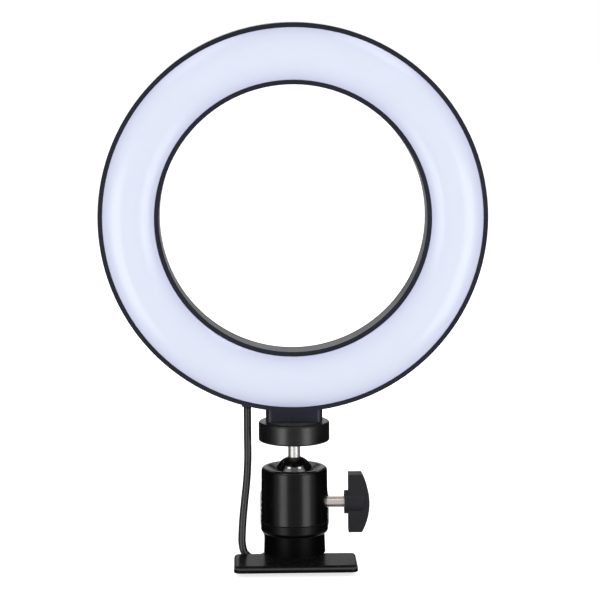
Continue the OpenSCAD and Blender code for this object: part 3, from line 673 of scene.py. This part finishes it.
# lead jacket, its plug and the wires inside the ring
jacketSet = {"color": color(0.011, 0.011, 0.013), "other": color(0.017, 0.017, 0.019), "specular": 0.2,
             "rough": 0.33, "spread": 0.1, "pebble": 1400, "cloud": 160, "marks": 0.2,
             "markColor": color(0.05, 0.05, 0.05), "dust": 0.06, "bump": 0.1, "bumpDepth": 0.00006}
leadNodes = ["cord_drop", "cord_floor", "cord_hank", "cord_tail"]
dress([*leadPieces, *leadNodes], plasticFinish("leadJacket", jacketSet))

plugSet = {**jacketSet, "rough": 0.45, "pebble": 2200, "bump": 0.25}
dress(["plug_body"], plasticFinish("plugMoulding", plugSet))

wireSet = {**jacketSet, "color": color(0.45, 0.03, 0.02), "other": color(0.35, 0.02, 0.015)}
dress(["lead_wires"], plasticFinish("wireCover", wireSet))

# strap: woven loops
loopSet = {"color": color(0.013, 0.013, 0.014), "other": color(0.035, 0.035, 0.036), "rough": 0.85, "spread": 0.1,
           "pebble": 2400, "cloud": 300, "bump": 0.6, "bumpDepth": 0.0002, "sheen": 0.4, "sheenRough": 0.5}


def strapFinish(s):
    sheen = {"Sheen Weight": s["sheen"], "Sheen Roughness": s["sheenRough"]}
    material, tree, shader = newMaterial("hookAndLoop", sheen)
    loops = addNode(tree, "TexVoronoi", {"Vector": coords(tree), "Scale": s["pebble"]}).outputs["Distance"]
    skin = placeSkin(tree, s)
    tree.links.new(skin["Color"], shader["Base Color"])
    tree.links.new(skin["Roughness"], shader["Roughness"])
    bumpTo(tree, shader["Normal"], loops, s)
    return material


dress([strap, "cable_tie"], strapFinish(loopSet))

# stud: turned steel
studSet = {"color": color(0.3, 0.297, 0.293), "other": color(0.25, 0.247, 0.243), "rough": 0.46, "spread": 0.1,
           "stretch": (1, 1, 14), "lines": 500, "marks": 0.3, "markColor": color(0.3, 0.3, 0.3), "bump": 0.12}
dress(["stud"], metalFinish("turnedSteel", studSet))

# knob screw and hinge pin: warmer steel
screwSet = {**studSet, "color": color(0.5, 0.455, 0.43), "other": color(0.34, 0.305, 0.285), "rough": 0.3,
            "stretch": (14, 1, 1)}
dress(["lock_screw", "hinge_pin"], metalFinish("warmSteel", screwSet))

# clip spring and small screws: brighter steel
brightSet = {**studSet, "color": color(0.55, 0.545, 0.53), "other": color(0.42, 0.415, 0.4), "rough": 0.24,
             "stretch": (3, 3, 3)}
brightNodes = ["clip_spring", "base_screw", "board_screws", "cover_screws"]
dress([spring, *brightNodes], metalFinish("springSteel", brightSet))

# plug shell: plated, with the two square latch windows in its flat faces painted as dark squares, a painted shade for
# the openings
shellSet = {**studSet, "color": color(0.6, 0.6, 0.59), "other": color(0.5, 0.5, 0.49), "metallic": 0.6, "rough": 0.32,
            "stretch": (12, 1, 12), "windowSide": 0.0025, "windowsApart": 0.0051, "fromMouth": 0.0064,
            "windowShade": color(0.02, 0.02, 0.02), "flatFrom": 0.9}


def within(tree, value, middle, half):
    return mathNode(tree, "LESS_THAN", distance(tree, value, middle), half)


def shellFinish(s):
    material = metalFinish("platedShell", s)
    tree, shader = material.node_tree, material.node_tree.nodes["Principled BSDF"].inputs
    low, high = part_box("plug_shell")
    place, half = parts(tree, coords(tree)), s["windowSide"] / 2
    fromMiddle = distance(tree, place["X"], (low[0] + high[0]) / 2)
    square = times(tree, within(tree, fromMiddle, s["windowsApart"] / 2, half),
                   within(tree, place["Y"], low[1] + s["fromMouth"], half))
    facing = mathNode(tree, "ABSOLUTE", parts(tree, coords(tree, "Normal"))["Z"])
    window = times(tree, square, mathNode(tree, "GREATER_THAN", facing, s["flatFrom"]))
    plain = shader["Base Color"].links[0].from_socket
    # painted shade: near-black squares where the latch windows open
    tree.links.new(blendColor(tree, window, plain, s["windowShade"]), shader["Base Color"])
    plated = mathNode(tree, "SUBTRACT", 1.0, window)
    tree.links.new(times(tree, plated, s["metallic"]), shader["Metallic"])
    return material


dress(["plug_shell"], shellFinish(shellSet))

# inserts and clamp shoe: brass
brassSet = {**studSet, "color": color(0.78, 0.56, 0.23), "other": color(0.6, 0.4, 0.14), "rough": 0.3,
            "stretch": (1, 1, 10)}
dress(["thread_insert", "nut_insert", "clamp_shoe"], metalFinish("plainBrass", brassSet))

# nylon cup, retaining ring and plug tongue
nylonSet = {"color": color(0.74, 0.72, 0.65), "other": color(0.66, 0.64, 0.57), "rough": 0.42, "spread": 0.1,
            "pebble": 1600, "cloud": 90, "marks": 0.2, "markColor": color(0.5, 0.48, 0.42), "dust": 0.05,
            "bump": 0.1, "bumpDepth": 0.00006}
dress(["ball_cup", "retaining_ring", "plug_tongue"], plasticFinish("plainNylon", nylonSet))

# light board, driver board and chips, behind the diffuser
boardSet = {**nylonSet, "color": color(0.8, 0.8, 0.79), "other": color(0.72, 0.72, 0.71), "rough": 0.35}
dress(["led_board"], plasticFinish("whiteSolderMask", boardSet))

driverSet = {**nylonSet, "color": color(0.02, 0.13, 0.05), "other": color(0.03, 0.19, 0.08), "rough": 0.3, "cloud": 400}
dress(["driver_board"], plasticFinish("greenSolderMask", driverSet))

chipSet = {**nylonSet, "color": color(0.85, 0.68, 0.2), "other": color(0.8, 0.6, 0.15), "rough": 0.3}
dress(["led_chips"], plasticFinish("phosphorChips", chipSet))
print("all parts dressed")

# world and floor: white to the camera and in reflections, dimmer as light
groundSet = {"white": color(1, 1, 1), "ambient": 0.54, "seen": 1.0, "floorHalf": 6, "floorColor": color(0.8, 0.8, 0.8),
             "floorGlow": 0.72, "floorRough": 0.9, "floorSpecular": 0.1}


def seenDirectly(tree):
    path = addNode(tree, "LightPath").outputs
    seen = mathNode(tree, "ADD", path["Is Camera Ray"], path["Is Glossy Ray"], True)
    return mathNode(tree, "ADD", seen, path["Is Transmission Ray"], True)


def makeWorld(s):
    world = bpy.data.worlds.new("studio")
    scene.world = world
    world.use_nodes = True
    tree = world.node_tree
    sky = tree.nodes["Background"].inputs
    sky["Color"].default_value = s["white"]
    level = stretchTo(tree, seenDirectly(tree), (0.0, 1.0), (s["ambient"], s["seen"]))
    tree.links.new(level, sky["Strength"])


def makeFloor(s):
    half = s["floorHalf"]
    corners = [(-half, -half, 0), (half, -half, 0), (half, half, 0), (-half, half, 0)]
    floor = newPiece("floor", corners, [(0, 1, 2, 3)], False)
    sockets = {"Base Color": s["floorColor"], "Emission Color": s["white"], "Roughness": s["floorRough"],
               "Specular IOR Level": s["floorSpecular"]}
    material, tree, shader = newMaterial("paleFloor", sockets)
    tree.links.new(times(tree, seenDirectly(tree), s["floorGlow"]), shader["Emission Strength"])
    floor.data.materials.append(material)
    floor.visible_glossy = False  # glossy rays go on to the world, which is as white, and to the strip lamps


makeWorld(groundSet)
makeFloor(groundSet)

# lamps round the object, each row: name, turn from the front in degrees, distance, height, power
lampSet = {
    "soft": {"size": (0.62, 0.9), "rows": [("Left", -43, 0.95, 0.24, 2.4), ("Right", 43, 0.95, 0.24, 2.4)]},
    "rear": {"size": (0.5, 0.5), "rows": [("Left", -148, 0.85, 0.7, 2.6), ("Right", 148, 0.85, 0.7, 2.6)]},
    "strip": {"size": (0.42, 0.7), "rows": [("Left", -40, 1.0, -0.1, 6.8), ("Right", 40, 1.0, -0.1, 6.8),
                                            ("Back", 180, 1.0, -0.45, 3.0)]},
    "high": {"size": (0.35, 0.5), "rows": [("Left", -45, 0.7, 0.95, 5.0), ("Right", 45, 0.7, 0.95, 5.0)]},
    "top": {"size": (0.9, 0.9), "rows": [("Soft", 0, 0.1, 1.2, 1.1)]},
    "fill": {"size": (0.9, 0.3), "rows": [("Low", 0, 0.55, 0.02, 0.7)]},
}
lampAim = (0, 0, 0.12)
shineOnly, lightOnly = ("strip", "high"), ("fill",)  # seen in reflections alone, and not seen in them


def standAt(degrees, far, high):
    a = math.radians(degrees)
    return Vector((far * math.sin(a), -far * math.cos(a), high))


def makeLamp(name, place, size, power):
    data = bpy.data.lights.new(name, "AREA")
    data.shape = "RECTANGLE"
    data.size, data.size_y = size
    data.energy = power
    piece = bpy.data.objects.new(name, data)
    scene.collection.objects.link(piece)
    aim = (Vector(lampAim) - place).to_track_quat("-Z", "Y")
    piece.matrix_world = Matrix.Translation(place) @ aim.to_matrix().to_4x4()
    return piece


for kind, group in lampSet.items():
    for side, turn, far, high, power in group["rows"]:
        lamp = makeLamp(kind + side, standAt(turn, far, high), group["size"], power)
        if kind in shineOnly:
            lamp.visible_diffuse = False
            lamp.data.use_shadow = False
        elif kind in lightOnly:
            lamp.visible_glossy = False

# black cards that only reflections see: they keep the edges of the round black parts dark
cardSet = {"turns": (75, 166), "steps": 24, "far": 0.9, "heights": (-0.4, 0.9), "color": color(0.02, 0.02, 0.02)}


def makeCard(name, side, s):
    first, last = s["turns"]
    turns = [first + (last - first) * k / s["steps"] for k in range(s["steps"] + 1)]
    verts = [standAt(side * turn, s["far"], z) for turn in turns for z in s["heights"]]
    faces = [(2 * k, 2 * k + 1, 2 * k + 3, 2 * k + 2) for k in range(s["steps"])]
    card = newPiece(name, verts, faces)
    sockets = {"Base Color": s["color"], "Roughness": 1.0, "Specular IOR Level": 0.0}
    card.data.materials.append(newMaterial(name + "Card", sockets)[0])
    card.visible_camera = card.visible_diffuse = False
    card.visible_transmission = card.visible_shadow = False


makeCard("flagLeft", -1, cardSet)
makeCard("flagRight", 1, cardSet)
print("stage and lamps set")
